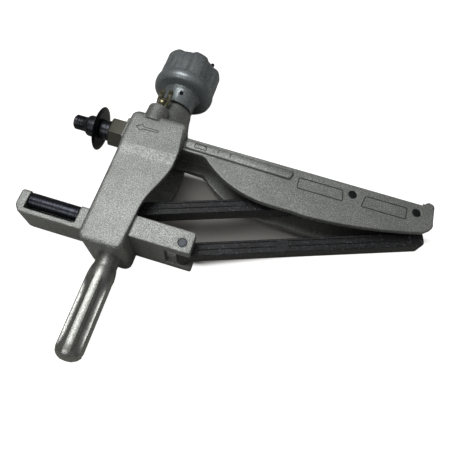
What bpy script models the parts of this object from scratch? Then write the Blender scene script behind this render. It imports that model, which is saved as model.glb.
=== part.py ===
"""Internal pipe cutter: a cutter arm on two parallel links, fed towards a pair of rollers by a knob.

Frame: X runs along the arms away from the cutter wheel, Y runs from the handle to the knob, and +Z
is up from the table that the tool lies on. The origin is on the flat back of the body, where the
feed screw's axis crosses the line of the two lower link pivots. Sizes below are in millimetres.
"""
import math

import bmesh
import bpy
from mathutils import Matrix, Vector

MM = 0.001
GAP = 0.3
FACETS = 32
FINE_FACETS = 48

# Linkage: two equal parallel links carry the arm
MID_Z = 35.0
PIVOT_1 = (-3.3, 0.0)
PIVOT_2 = (63.7, 0.0)
ARM_REACH = (215.7, 105.2)
CRANK_OFFSET = 23.2
PIN_RADIUS = 4.2
LINK_HALF_WIDTH = 7.3
LINK_HALF_THICKNESS = 9.0
EYE_RADIUS = 7.5
EYE_HALF_WIDTH = 17.5
LINK_END_MARGIN = 9.2
LOBE_NECK = 16.0

# Body casting
BODY_LEFT = -32.6
BODY_RIGHT_LOW = 12.5
BODY_RIGHT_HIGH = 29.5
BODY_BOTTOM = -23.2
BODY_TOP = 126.0
SHANK_HEIGHT = 68.5
HEAD_RISE = 2.5
HEAD_SLOPE = (72.0, 86.0)
BODY_EDGE_RADIUS = 4.5
CAVITY_HALF_HEIGHT = 29.0
CAVITY_TOP = 122.5
LEFT_WALL = 6.0
LEFT_SLOT_HALF_HEIGHT = 24.6
LEFT_SLOT_BOTTOM = 17.0
LEFT_SLOT_STEP = 46.0
HOUSING_SLOT_HALF = 17.8
BOSS_TOP = 158.8
BOSS_BORE_RADIUS = 13.4
WING_BOSS = (-9.5, 27.0)
WING_BOSS_RADIUS = 11.5
WING_BOSS_TOP = 139.0
WING_TURN = -12.0
WING_SEAT_RADIUS = 7.0
WING_SHANK_RADIUS = 4.0
WING_SHANK_END = 121.4

# Bracket with the roller cradle
BRACKET_FRONT = -9.2
BRACKET_BACK = 13.5
BRACKET_RIGHT = 73.8
BRACKET_HALF_HEIGHT = 28.7
CHEEK_GAP_HALF = 17.8
WEB_THICKNESS = 6.0
WEB_RIGHT = 47.0
CRADLE_LEFT = -107.5
CRADLE_FRONT = -13.2
CRADLE_BACK = 9.8
CRADLE_HALF_HEIGHT = 20.0
CRADLE_WALL = 9.5
CRADLE_NEAR_WALL = 14.0
CRADLE_LIP = 3.5
ROLLER_RADIUS = 8.0
ROLLER_Y = 2.6
ROLLER_OFFSET_Z = 12.0
ROLLER_AXLE_RADIUS = 3.0

# Cutter arm
ARM_HALF_HEIGHT = 24.2
ARM_CHANNEL_HALF = 18.0
ARM_LEFT = -44.0
ARM_RIGHT = 297.5
ARM_TOP = 115.8
ARM_BLOCK_TOP = 120.8
ARM_BLOCK_BOTTOM = 96.0
ARM_BLOCK_RIGHT = 14.0
ARM_WEB_BOTTOM = 113.0
ARM_END_WALL = 6.5
ARM_MOUTH_TOP = 99.0
ARM_TOE_WALL = 6.5
RAIL_RISE = 1.2

# Cutter spindle, on the arm's left end
SPINDLE_Y = 111.7
HEX_ACROSS_FLATS = 30.0
HEX_LENGTH = 15.7
WHEEL_RADIUS = 24.5
WHEEL_THICKNESS = 2.6
AXLE_RADIUS = 6.0
AXLE_LEFT = -101.0

# Feed screw, sleeve nut and knob
SCREW_RADIUS = 8.0
SCREW_BOTTOM = 44.0
NUT_RADIUS = 12.3
NUT_BOTTOM = 111.0
NUT_TOP = 143.0
NUT_THREAD_LENGTH = 20.0
SLOT_Y = 112.5
TRUNNION_RADIUS = 4.0
TRUNNION_CLEARANCE = 1.2
ARM_SHIFT = 22.8
KNOB_RADIUS = 34.4
KNOB_LOBES = 8
KNOB_BOTTOM = 188.0
KNOB_TOP = 228.8
HUB_BOTTOM = 160.8
HUB_RADIUS = 19.5

# Handle
HANDLE_X = -4.0
HANDLE_RADIUS = 13.6
HANDLE_END = -131.0
HANDLE_SPIGOT_RADIUS = 8.0

AXES = {
    "X": Matrix.Rotation(math.pi / 2, 4, "Y"),
    "Y": Matrix.Rotation(-math.pi / 2, 4, "X"),
    "Z": Matrix.Identity(4),
}

FINISHES = {
    "cast_aluminium": ((0.42, 0.42, 0.40), 0.85, 0.50),
    "knob_aluminium": ((0.22, 0.24, 0.25), 0.60, 0.42),
    "black_iron": ((0.018, 0.020, 0.024), 0.35, 0.45),
    "black_steel": ((0.020, 0.020, 0.026), 0.80, 0.28),
    "housing_steel": ((0.24, 0.24, 0.22), 0.80, 0.45),
    "pin_steel": ((0.16, 0.17, 0.19), 0.85, 0.35),
    "bright_steel": ((0.50, 0.50, 0.50), 0.95, 0.25),
    "bronze": ((0.42, 0.26, 0.10), 0.90, 0.38),
    "yellow_zinc": ((0.50, 0.45, 0.24), 0.90, 0.30),
}


def clear_scene():
    """Removes the objects that the file opened with."""
    for old in list(bpy.data.objects):
        bpy.data.objects.remove(old, do_unlink=True)


def finish_material(name):
    """The Principled material of one finish, made once."""
    if name in bpy.data.materials:
        return bpy.data.materials[name]
    colour, metallic, roughness = FINISHES[name]
    material = bpy.data.materials.new(name)
    material.use_nodes = True
    shader = material.node_tree.nodes["Principled BSDF"]
    shader.inputs["Base Color"].default_value = (*colour, 1.0)
    shader.inputs["Metallic"].default_value = metallic
    shader.inputs["Roughness"].default_value = roughness
    return material


def arc(centre, radius, start_deg, end_deg, steps):
    """Points along an arc, both ends included."""
    turn = [start_deg + (end_deg - start_deg) * k / steps for k in range(steps + 1)]
    return [
        (centre[0] + radius * math.cos(math.radians(a)), centre[1] + radius * math.sin(math.radians(a)))
        for a in turn
    ]


def bezier(start, first, second, end, steps):
    """Points along a cubic curve, both ends included."""
    points = []
    for k in range(steps + 1):
        t = k / steps
        weights = ((1 - t) ** 3, 3 * t * (1 - t) ** 2, 3 * t * t * (1 - t), t**3)
        corners = (start, first, second, end)
        points.append(tuple(sum(w * c[i] for w, c in zip(weights, corners)) for i in (0, 1)))
    return points


def rounded(corners, steps=4):
    """An outline from (x, y, radius) corners, each turned into a tangent arc; radius 0 stays sharp."""
    outline = []
    count = len(corners)
    for k, (x, y, radius) in enumerate(corners):
        here = Vector((x, y))
        if radius <= 0:
            outline.append((x, y))
            continue
        before = (Vector(corners[k - 1][:2]) - here).normalized()
        after = (Vector(corners[(k + 1) % count][:2]) - here).normalized()
        half = before.angle(after) / 2
        middle = here + (before + after).normalized() * (radius / math.sin(half))
        first = here + before * (radius / math.tan(half)) - middle
        last = here + after * (radius / math.tan(half)) - middle
        sweep = first.angle_signed(last)
        for step in range(steps + 1):
            turned = Matrix.Rotation(-sweep * step / steps, 2) @ first
            outline.append(tuple(middle + turned))
    return outline


def rectangle(left, bottom, right, top, radius=0.0):
    """A rectangle's outline, counter-clockwise, with rounded corners."""
    return rounded([(left, bottom, radius), (right, bottom, radius), (right, top, radius), (left, top, radius)])


def signed_area(outline):
    """Twice an outline's area, positive when it runs counter-clockwise."""
    return sum(a[0] * b[1] - b[0] * a[1] for a, b in zip(outline, outline[1:] + outline[:1]))


def prism(outline, low, high, axis="Z", rim_radius=0.0, rim_segments=3):
    """A solid of an outline's shape from low to high along an axis, with both rims rounded.

    The outline is in X and Y for axis Z, in Y and Z for axis X, and in Z and X for axis Y.
    """
    if signed_area(outline) < 0:
        outline = outline[::-1]
    order = {"Z": (0, 1, 2), "X": (2, 0, 1), "Y": (1, 2, 0)}[axis]
    shape = bmesh.new()
    ends = []
    for level in (low, high):
        ring = []
        for u, v in outline:
            flat = (u, v, level)
            ring.append(shape.verts.new([flat[i] for i in order]))
        ends.append(ring)
    count = len(outline)
    caps = [shape.faces.new(ends[0][::-1]), shape.faces.new(ends[1])]
    for k in range(count):
        after = (k + 1) % count
        shape.faces.new((ends[0][k], ends[0][after], ends[1][after], ends[1][k]))
    if rim_radius > 0:
        rims = {edge for cap in caps for edge in cap.edges}
        bmesh.ops.bevel(
            shape, geom=list(rims), offset=rim_radius, segments=rim_segments, profile=0.5,
            affect="EDGES", clamp_overlap=True,
        )
    return shape


def turned(profile, centre, axis, facets=FACETS, bore=None):
    """A turned solid: (distance along the axis, radius) pairs from one end to the other.

    With a bore radius it is a ring, open along the axis; radius 0 at an end makes a point.
    """
    shape = bmesh.new()
    rings = []
    stations = list(profile)
    if bore is not None:
        stations += [(profile[-1][0], bore), (profile[0][0], bore)]
    for along, radius in stations:
        if radius <= 0:
            rings.append([shape.verts.new((0, 0, along))])
            continue
        angles = [2 * math.pi * k / facets for k in range(facets)]
        rings.append([shape.verts.new((radius * math.cos(a), radius * math.sin(a), along)) for a in angles])
    pairs = list(zip(rings, rings[1:]))
    if bore is not None:
        pairs.append((rings[-1], rings[0]))
    for lower, upper in pairs:
        for k in range(facets):
            after = (k + 1) % facets
            if len(lower) == 1:
                shape.faces.new((lower[0], upper[after], upper[k]))
            elif len(upper) == 1:
                shape.faces.new((lower[k], lower[after], upper[0]))
            else:
                shape.faces.new((lower[k], lower[after], upper[after], upper[k]))
    if bore is None:
        if len(rings[0]) > 1:
            shape.faces.new(rings[0][::-1])
        if len(rings[-1]) > 1:
            shape.faces.new(rings[-1])
    shape.transform(Matrix.Translation(centre) @ AXES[axis])
    bmesh.ops.recalc_face_normals(shape, faces=shape.faces)
    return shape


def joined(*shapes):
    """Several closed shapes in one mesh, for a cutter that cuts them all at once."""
    whole = bmesh.new()
    for shape in shapes:
        part = bpy.data.meshes.new("part")
        shape.to_mesh(part)
        shape.free()
        whole.from_mesh(part)
        bpy.data.meshes.remove(part)
    return whole


def make_object(name, shape, pivot=(0, 0, 0)):
    """An object from a shape in millimetres, with its origin at the pivot."""
    shape.transform(Matrix.Translation(-Vector(pivot)))
    shape.transform(Matrix.Scale(MM, 4))
    mesh = bpy.data.meshes.new(name)
    shape.to_mesh(mesh)
    shape.free()
    made = bpy.data.objects.new(name, mesh)
    bpy.context.scene.collection.objects.link(made)
    made.location = Vector(pivot) * MM
    return made


def piece(name, shape, finish, pivot=(0, 0, 0)):
    """A sub-part of the tool: one closed body with its finish."""
    made = make_object(name, shape, pivot)
    made.data.materials.append(finish_material(finish))
    made.data.shade_smooth()
    made.data.set_sharp_from_angle(angle=math.radians(32))
    return made


def combine(target, name, shape, operation):
    """Adds a hidden tool shape to a sub-part through a Boolean modifier."""
    tool = make_object(name, shape)
    tool.hide_render = True
    tool.display_type = "WIRE"
    modifier = target.modifiers.new(name, "BOOLEAN")
    modifier.operation = operation
    modifier.object = tool
    modifier.solver = "EXACT"
    return tool


def cut(target, name, shape):
    """Takes a shape away from a sub-part."""
    return combine(target, name, shape, "DIFFERENCE")


def add(target, name, shape):
    """Adds a shape to a sub-part as one body."""
    return combine(target, name, shape, "UNION")


def cylinder(centre, axis, low, high, radius, facets=FACETS):
    """A plain round bar or hole along an axis; centre gives the other two coordinates."""
    return turned([(low, radius), (high, radius)], centre, axis, facets)


def around_mid(half_height):
    """The low and high Z of something that is centred on the mechanism's middle plane."""
    return MID_Z - half_height, MID_Z + half_height


def smooth_step(low, high, value):
    """0 below low, 1 above high, and an even slope between."""
    t = min(max((value - low) / (high - low), 0.0), 1.0)
    return t * t * (3 - 2 * t)


def body_outline():
    """The body's plan: a narrow shank that swells in a long S into the head."""
    corner = 8.0
    right = bezier(
        (BODY_RIGHT_LOW, 13.0), (BODY_RIGHT_LOW, 43.0), (BODY_RIGHT_HIGH, 53.0), (BODY_RIGHT_HIGH, 89.0), 12,
    )
    lower = rounded([(BODY_LEFT, 20.0, 0), (BODY_LEFT, BODY_BOTTOM, corner), (BODY_RIGHT_LOW, BODY_BOTTOM, corner),
                     (BODY_RIGHT_LOW, 0.0, 0)])
    upper = rounded([(BODY_RIGHT_HIGH, 100.0, 0), (BODY_RIGHT_HIGH, BODY_TOP, corner), (BODY_LEFT, BODY_TOP, corner),
                     (BODY_LEFT, 60.0, 0)])
    return lower[1:-1] + right + upper[1:-1]


def make_body_casting():
    """The head and shank in one casting, open on both sides for the arm, the link and the bracket."""
    shape = prism(body_outline(), 0.0, SHANK_HEIGHT, rim_radius=BODY_EDGE_RADIUS)
    low, high = HEAD_SLOPE
    for k in range(6):
        everything = list(shape.verts) + list(shape.edges) + list(shape.faces)
        level = low + (high - low) * k / 5
        bmesh.ops.bisect_plane(shape, geom=everything, plane_co=(0, level, 0), plane_no=(0, 1, 0))
    for vertex in shape.verts:
        if vertex.co.z > MID_Z:
            vertex.co.z += HEAD_RISE * smooth_step(low, high, vertex.co.y)
    body = piece("body_casting", shape, "cast_aluminium")
    boss = [(118.0, 27.0), (129.0, 25.5), (139.0, 22.5), (149.0, 20.3), (BOSS_TOP - 1.0, 19.2), (BOSS_TOP, 18.4)]
    add(body, "feed_boss_form", turned(boss, (0, 0, MID_Z), "Y", FINE_FACETS))
    wing_centre = (WING_BOSS[0], 0, MID_Z + WING_BOSS[1])
    wing = [(118.0, WING_BOSS_RADIUS + 0.8), (WING_BOSS_TOP - 1.2, WING_BOSS_RADIUS), (WING_BOSS_TOP, WING_BOSS_RADIUS - 1.2)]
    add(body, "wing_boss_form", turned(wing, wing_centre, "Y"))
    cavity_left = BODY_LEFT + LEFT_WALL
    cavity = rectangle(cavity_left, BRACKET_FRONT - GAP, 60.0, CAVITY_TOP, 3.0)
    cut(body, "body_cavity", prism(cavity, *around_mid(CAVITY_HALF_HEIGHT)))
    slot = rounded([(LEFT_SLOT_BOTTOM, MID_Z - HOUSING_SLOT_HALF, 3.0), (LEFT_SLOT_STEP, MID_Z - HOUSING_SLOT_HALF, 2.0),
                    (LEFT_SLOT_STEP, MID_Z - LEFT_SLOT_HALF_HEIGHT, 3.0), (CAVITY_TOP, MID_Z - LEFT_SLOT_HALF_HEIGHT, 3.0),
                    (CAVITY_TOP, MID_Z + LEFT_SLOT_HALF_HEIGHT, 3.0), (LEFT_SLOT_STEP, MID_Z + LEFT_SLOT_HALF_HEIGHT, 3.0),
                    (LEFT_SLOT_STEP, MID_Z + HOUSING_SLOT_HALF, 2.0), (LEFT_SLOT_BOTTOM, MID_Z + HOUSING_SLOT_HALF, 3.0)])
    cut(body, "arm_slot", prism(slot, BODY_LEFT - 5.0, cavity_left + 4.0, "X"))
    seat = rectangle(BRACKET_FRONT - GAP, *around_mid(CAVITY_HALF_HEIGHT)[:1], BRACKET_BACK + GAP,
                     around_mid(CAVITY_HALF_HEIGHT)[1])
    cut(body, "bracket_seat", prism(seat, BODY_LEFT - 5.0, cavity_left + 4.0, "X"))
    cut(body, "boss_bore", cylinder((0, 0, MID_Z), "Y", CAVITY_TOP - 3.0, BOSS_TOP + 3.0, BOSS_BORE_RADIUS))
    wing_hole = [(WING_SHANK_END - 0.8, WING_SHANK_RADIUS + GAP), (WING_BOSS_TOP, WING_SHANK_RADIUS + GAP),
                 (WING_BOSS_TOP, WING_SEAT_RADIUS), (WING_BOSS_TOP + 30.0, WING_SEAT_RADIUS)]
    cut(body, "wing_bolt_hole", turned(wing_hole, wing_centre, "Y", 24))
    socket = cylinder((HANDLE_X, 0, MID_Z), "Y", BODY_BOTTOM - 5.0, -13.0, HANDLE_SPIGOT_RADIUS + GAP)
    cut(body, "handle_socket", socket)
    for k, x in enumerate(SET_SCREW_X):
        cut(body, f"set_screw_hole_{k + 1}", cylinder((x, SET_SCREW_Y, 0), "Z", -3.0, 8.0, SET_SCREW_RADIUS + GAP, 20))
    return body


SET_SCREW_X = (-20.0, 7.0)
SET_SCREW_Y = 2.0
SET_SCREW_RADIUS = 3.0


def make_set_screws():
    """Two hollow-head screws through the body's back that hold the bracket in its seat."""
    for k, x in enumerate(SET_SCREW_X):
        shape = turned([(0.8, SET_SCREW_RADIUS - 0.4), (1.2, SET_SCREW_RADIUS), (13.0, SET_SCREW_RADIUS), (14.5, 1.6)],
                       (x, SET_SCREW_Y, 0), "Z", 20)
        screw = piece(f"bracket_screw_{k + 1}", shape, "black_steel")
        hexagon = [(x + px, SET_SCREW_Y + py) for px, py in arc((0, 0), 1.7, 0, 300, 5)]
        cut(screw, f"socket_{k + 1}", prism(hexagon, -1.0, 3.8))


def make_bracket():
    """The lower bracket: a channel that carries both link pivots, with the roller cradle on its left end."""
    cheek_low, cheek_high = around_mid(BRACKET_HALF_HEIGHT)
    gap_low, gap_high = around_mid(CHEEK_GAP_HALF)
    left_inside = BODY_LEFT + LEFT_WALL + GAP
    plan = rounded([(BODY_LEFT - 0.6, BRACKET_FRONT, 0), (BRACKET_RIGHT, BRACKET_FRONT, 2.0),
                    (BRACKET_RIGHT, BRACKET_BACK, 3.0), (BODY_LEFT - 0.6, BRACKET_BACK, 0)])
    bracket = piece("bracket", prism(plan, cheek_low, cheek_high, rim_radius=0.8, rim_segments=2), "cast_aluminium")
    cradle_plan = rounded([(CRADLE_LEFT, CRADLE_FRONT, 8.0), (BODY_LEFT - GAP, CRADLE_FRONT, 0),
                           (BODY_LEFT - GAP, CRADLE_BACK, 0), (CRADLE_LEFT, CRADLE_BACK, 3.0)])
    cradle = prism(cradle_plan, *around_mid(CRADLE_HALF_HEIGHT), rim_radius=2.0)
    add(bracket, "cradle_form", cradle)
    inner_left = CRADLE_LEFT + CRADLE_WALL
    inner_right = BODY_LEFT - GAP - CRADLE_NEAR_WALL
    trough = rectangle(inner_left, CRADLE_FRONT + CRADLE_LIP, inner_right, BRACKET_BACK + 20.0, 1.5)
    cut(bracket, "cradle_trough", prism(trough, -10.0, 90.0))
    rib = rectangle(inner_left - 2.0, CRADLE_FRONT + 1.0, inner_right + 2.0, ROLLER_Y - 4.5)
    add(bracket, "cradle_rib", prism(rib, *around_mid(2.4)))
    channel = rectangle(left_inside, BRACKET_FRONT + WEB_THICKNESS, BRACKET_RIGHT + 10.0, BRACKET_BACK + 10.0, 2.0)
    cut(bracket, "bracket_channel", prism(channel, gap_low, gap_high))
    pivot_window = rectangle(PIVOT_1[0] - 12.0, BRACKET_FRONT - 5.0, PIVOT_1[0] + 12.0, 4.0, 2.0)
    end_window = rectangle(WEB_RIGHT, BRACKET_FRONT - 5.0, BRACKET_RIGHT + 10.0, 4.0, 2.0)
    cut(bracket, "web_windows", joined(prism(pivot_window, gap_low, gap_high), prism(end_window, gap_low, gap_high)))
    holes = [cylinder((x, y, 0), "Z", cheek_low - 3.0, cheek_high + 3.0, PIN_RADIUS + GAP) for x, y in (PIVOT_1, PIVOT_2)]
    cut(bracket, "pivot_holes", joined(*holes))
    axles = [
        cylinder((0, ROLLER_Y, z), "X", CRADLE_LEFT - 3.0, BODY_LEFT - 6.0, ROLLER_AXLE_RADIUS + GAP, 24)
        for z in around_mid(ROLLER_OFFSET_Z)
    ]
    cut(bracket, "axle_holes", joined(*axles))
    screws = [cylinder((x, SET_SCREW_Y, 0), "Z", -3.0, 15.0, SET_SCREW_RADIUS + GAP, 20) for x in SET_SCREW_X]
    cut(bracket, "screw_seats", joined(*screws))


def make_rollers():
    """Two hardened rollers side by side, each on its own axle, that run on the pipe's outside."""
    left = CRADLE_LEFT + CRADLE_WALL + 0.6
    right = BODY_LEFT - GAP - CRADLE_NEAR_WALL - 0.6
    for name, z in zip(("lower", "upper"), around_mid(ROLLER_OFFSET_Z)):
        centre = (0, ROLLER_Y, z)
        skin = [(left, ROLLER_RADIUS - 0.6), (left + 0.6, ROLLER_RADIUS), (right - 0.6, ROLLER_RADIUS),
                (right, ROLLER_RADIUS - 0.6)]
        middle = ((left + right) / 2, ROLLER_Y, z)
        piece(f"roller_{name}", turned(skin, centre, "X", FACETS, bore=ROLLER_AXLE_RADIUS + GAP), "black_steel", middle)
        axle = [(CRADLE_LEFT + 0.5, ROLLER_AXLE_RADIUS - 0.4), (CRADLE_LEFT + 0.9, ROLLER_AXLE_RADIUS),
                (BODY_LEFT - 6.5, ROLLER_AXLE_RADIUS)]
        piece(f"roller_axle_{name}", turned(axle, centre, "X", 24), "bright_steel")


def link_outline():
    """One link in its own frame: a straight bar from the plain eye, with a cranked lobe at the far end."""
    length = math.hypot(*ARM_REACH)
    lobe_s = math.sqrt(length**2 - CRANK_OFFSET**2)
    half = LINK_HALF_WIDTH
    end = lobe_s + LINK_END_MARGIN
    eye = arc((0, 0), EYE_RADIUS, 256, 104, 10)
    top = rounded([(40.0, half, 0), (lobe_s - EYE_RADIUS - 4.0, half, LOBE_NECK), (lobe_s - EYE_RADIUS + 0.5, CRANK_OFFSET, 0)])
    lobe = arc((lobe_s, CRANK_OFFSET), EYE_RADIUS, 170, 10, 10)
    tail = rounded([(lobe_s + EYE_RADIUS, 12.0, 0), (end, 4.0, 3.0), (end, -half, 5.0), (40.0, -half, 0)])
    return eye + top[1:-1] + lobe + tail[1:-1], (lobe_s, CRANK_OFFSET)


def make_link(name, start, heading_deg):
    """A link casting with shallow panels in its top and bottom faces."""
    outline, lobe = link_outline()
    low, high = around_mid(LINK_HALF_THICKNESS)
    place = Matrix.Translation((start[0], start[1], 0)) @ Matrix.Rotation(math.radians(heading_deg), 4, "Z")
    bar = prism(outline, low, high, rim_radius=1.0, rim_segments=2)
    eyes = [cylinder((*centre, 0), "Z", *around_mid(EYE_HALF_WIDTH), EYE_RADIUS - 0.05) for centre in ((0, 0), lobe)]
    holes = [cylinder((*centre, 0), "Z", *around_mid(EYE_HALF_WIDTH + 5), PIN_RADIUS + GAP) for centre in ((0, 0), lobe)]
    panels = []
    for first, last in ((14.0, 94.0), (106.0, 222.0)):
        for middle in (-2.9, 2.9):
            panel = rectangle(first, middle - 2.1, last, middle + 2.1, 1.2)
            panels += [prism(panel, high - 1.2, high + 3.0), prism(panel, low - 3.0, low + 1.2)]
    shapes = {"bar": bar, "eyes": joined(*eyes), "holes": joined(*holes), "panels": joined(*panels)}
    for shape in shapes.values():
        shape.transform(place)
    pivot = (*LINK_PIVOTS[name], MID_Z)
    link = piece(name, shapes["bar"], "black_iron", pivot)
    cut(link, f"{name}_panels", shapes["panels"])
    add(link, f"{name}_eyes", shapes["eyes"])
    cut(link, f"{name}_holes", shapes["holes"])


LINK_PIVOTS = {"link_front": PIVOT_2, "link_rear": PIVOT_1}


def arm_outline():
    """The cutter arm's side view: block and beam, a deep belly, and the hooked end."""
    belly = bezier((53.0, 101.2), (70.0, 84.0), (96.0, 67.2), (135.0, 67.2), 12)
    keel = bezier((135.0, 67.2), (200.0, 67.2), (240.0, 74.0), (289.0, 87.2), 10)
    block = rounded([(ARM_LEFT, 106.0, 0), (ARM_LEFT, ARM_BLOCK_BOTTOM, 2.0), (ARM_BLOCK_RIGHT - 3.0, ARM_BLOCK_BOTTOM, 3.0),
                     (ARM_BLOCK_RIGHT + 2.0, 101.2, 3.0), (50.0, 101.2, 0)])
    hook = rounded([(289.0, 87.2, 0), (ARM_RIGHT, 92.0, 5.0), (ARM_RIGHT, 121.0, 4.4), (288.6, 121.0, 3.4),
                    (286.2, ARM_TOP, 3.0), (ARM_BLOCK_RIGHT + 3.0, ARM_TOP, 3.0), (ARM_BLOCK_RIGHT - 2.0, ARM_BLOCK_TOP, 3.0),
                    (ARM_LEFT, ARM_BLOCK_TOP, 2.0), (ARM_LEFT, 110.0, 0)])
    return block[1:-1] + belly + keel[1:] + hook[1:-1]


def make_arm():
    """The cutter arm: a channel section that folds down over both links, with a scale rail on its top cheek."""
    low, high = around_mid(ARM_HALF_HEIGHT)
    channel_low, channel_high = around_mid(ARM_CHANNEL_HALF)
    arm = piece("cutter_arm", prism(arm_outline(), low, high, rim_radius=1.6, rim_segments=2), "cast_aluminium",
                (*arm_pin_places()[1], MID_Z))
    rail = rounded([(4.0, 103.6, 0), (146.0, 100.8, 1.5), (148.5, 110.4, 1.5), (4.0, 112.4, 0)])
    add(arm, "rail_form", prism(rail, high - 3.0, high + RAIL_RISE))
    channel = rounded([(ARM_LEFT + ARM_END_WALL, 30.0, 0), (ARM_RIGHT + 10.0, 30.0, 0), (ARM_RIGHT + 10.0, ARM_MOUTH_TOP, 0),
                       (ARM_RIGHT - ARM_TOE_WALL, ARM_MOUTH_TOP, 2.0), (ARM_RIGHT - ARM_TOE_WALL, ARM_WEB_BOTTOM, 2.5),
                       (ARM_LEFT + ARM_END_WALL, ARM_WEB_BOTTOM, 2.5)])
    cut(arm, "arm_channel", prism(channel, channel_low, channel_high))
    sleeve_room = NUT_RADIUS + 0.9
    window = rectangle(-ARM_SHIFT - sleeve_room, MID_Z - sleeve_room, sleeve_room, MID_Z + sleeve_room, 4.0)
    window = [(z, x) for x, z in window]
    cut(arm, "nut_window", prism(window, 105.0, ARM_BLOCK_TOP + 5.0, "Y"))
    reach = TRUNNION_RADIUS + TRUNNION_CLEARANCE
    slot = rectangle(-ARM_SHIFT - reach, SLOT_Y - reach, reach, SLOT_Y + reach, reach - 0.4)
    cut(arm, "trunnion_slots", prism(slot, low - 5.0, high + 5.0))
    holes = [cylinder((x, y, 0), "Z", low - 3.0, high + 3.0, PIN_RADIUS + GAP) for x, y in arm_pin_places()]
    spindle = cylinder((0, SPINDLE_Y, MID_Z), "X", ARM_LEFT - 5.0, ARM_LEFT + ARM_END_WALL + 5.0, 9.0 + GAP)
    cut(arm, "arm_holes", joined(*holes, spindle))


def arm_pin_places():
    """The two upper link pivots, with the arm in its open rest position."""
    return [(x + ARM_REACH[0], y + ARM_REACH[1]) for x, y in (PIVOT_1, PIVOT_2)]


def make_pivot_pins():
    """The four pins of the parallel linkage: two in the bracket's cheeks and two in the arm's."""
    places = {
        "pivot_pin_rear": (PIVOT_1, BRACKET_HALF_HEIGHT - 0.3),
        "pivot_pin_front": (PIVOT_2, BRACKET_HALF_HEIGHT + 0.2),
        "arm_pin_rear": (arm_pin_places()[0], ARM_HALF_HEIGHT + 0.2),
        "arm_pin_front": (arm_pin_places()[1], ARM_HALF_HEIGHT + 0.2),
    }
    for name, ((x, y), half) in places.items():
        low, high = around_mid(half)
        profile = [(low, PIN_RADIUS - 0.4), (low + 0.4, PIN_RADIUS), (high - 0.4, PIN_RADIUS), (high, PIN_RADIUS - 0.4)]
        piece(name, turned(profile, (x, y, 0), "Z"), "pin_steel")


def make_cutter_spindle():
    """The cutter wheel between a collar and a sleeve, on an axle held by a hexagonal housing."""
    centre = (0, SPINDLE_Y, MID_Z)
    hex_right = ARM_LEFT - GAP
    hex_left = hex_right - HEX_LENGTH
    across_corners = HEX_ACROSS_FLATS / math.cos(math.radians(30)) / 2
    hexagon = [(SPINDLE_Y + u, MID_Z + v) for u, v in arc((0, 0), across_corners, 0, 300, 5)]
    housing = piece("spindle_housing", prism(hexagon, hex_left, hex_right, "X", rim_radius=1.2, rim_segments=2),
                    "housing_steel")
    crown = [(hex_left - 5.0, 12.0), (hex_left, 15.2), (hex_left + 4.0, across_corners + 1.5), (hex_right + 5.0, across_corners + 1.5)]
    combine(housing, "housing_crown", turned(crown, centre, "X", FINE_FACETS), "INTERSECT")
    add(housing, "housing_shank", cylinder(centre, "X", hex_right - 3.0, ARM_LEFT + ARM_END_WALL - 0.5, 9.0))
    cut(housing, "housing_bore", cylinder(centre, "X", hex_left - 5.0, ARM_LEFT + 20.0, AXLE_RADIUS + GAP))

    groove, root = 1.6, AXLE_RADIUS - 1.2
    left = AXLE_LEFT
    axle = [(left, AXLE_RADIUS - 1.4), (left + 1.0, AXLE_RADIUS - 0.4), (left + 5.0, AXLE_RADIUS - 0.4), (left + 5.0, root),
            (left + 5.0 + groove, root), (left + 5.0 + groove, AXLE_RADIUS - 0.4), (left + 9.5, AXLE_RADIUS - 0.4),
            (left + 9.5, root), (left + 9.5 + groove, root), (left + 9.5 + groove, AXLE_RADIUS),
            (ARM_LEFT + 4.0, AXLE_RADIUS)]
    piece("cutter_axle", turned(axle, centre, "X"), "black_steel")

    wheel_right = hex_left - GAP - 9.0 - GAP
    wheel_left = wheel_right - WHEEL_THICKNESS
    middle = (wheel_left + wheel_right) / 2
    sleeve = [(wheel_right + GAP, 9.0), (wheel_right + GAP + 0.6, 9.6), (hex_left - GAP - 0.6, 9.6), (hex_left - GAP, 9.0)]
    piece("wheel_sleeve", turned(sleeve, centre, "X", FACETS, bore=AXLE_RADIUS + GAP), "black_steel")
    rim = [(wheel_left, WHEEL_RADIUS - 5.0), (middle, WHEEL_RADIUS), (wheel_right, WHEEL_RADIUS - 5.0)]
    piece("cutter_wheel", turned(rim, centre, "X", FINE_FACETS, bore=AXLE_RADIUS + GAP), "black_steel",
          (middle, SPINDLE_Y, MID_Z))
    collar_right = wheel_left - GAP
    collar = [(collar_right - 9.6, 7.6), (collar_right - 9.0, 8.4), (collar_right - 1.0, 8.4), (collar_right, 7.8)]
    piece("axle_collar", turned(collar, centre, "X", FACETS, bore=AXLE_RADIUS + GAP), "black_steel")


def make_sleeve_nut():
    """A tubular nut in the boss: threaded at its top, clear below, with two trunnions in the arm's slots."""
    centre = (0, 0, MID_Z)
    skin = [(NUT_BOTTOM, NUT_RADIUS - 0.5), (NUT_BOTTOM + 0.5, NUT_RADIUS), (NUT_TOP - 0.8, NUT_RADIUS), (NUT_TOP, NUT_RADIUS - 0.8)]
    nut = piece("sleeve_nut", turned(skin, centre, "Y", FACETS), "bronze", (0, NUT_TOP, MID_Z))
    span = ARM_HALF_HEIGHT - 0.4
    trunnion_y = SLOT_Y
    trunnions = [
        cylinder((0, trunnion_y, 0), "Z", MID_Z - span, MID_Z - 9.5, TRUNNION_RADIUS, 24),
        cylinder((0, trunnion_y, 0), "Z", MID_Z + 9.5, MID_Z + span, TRUNNION_RADIUS, 24),
    ]
    add(nut, "trunnion_form", joined(*trunnions))
    cut(nut, "nut_thread_bore", cylinder(centre, "Y", NUT_BOTTOM - 8.0, NUT_TOP + 5.0, SCREW_RADIUS + GAP))
    cut(nut, "nut_relief", cylinder(centre, "Y", NUT_BOTTOM - 8.0, NUT_TOP - NUT_THREAD_LENGTH, SCREW_RADIUS + 1.2))


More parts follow.
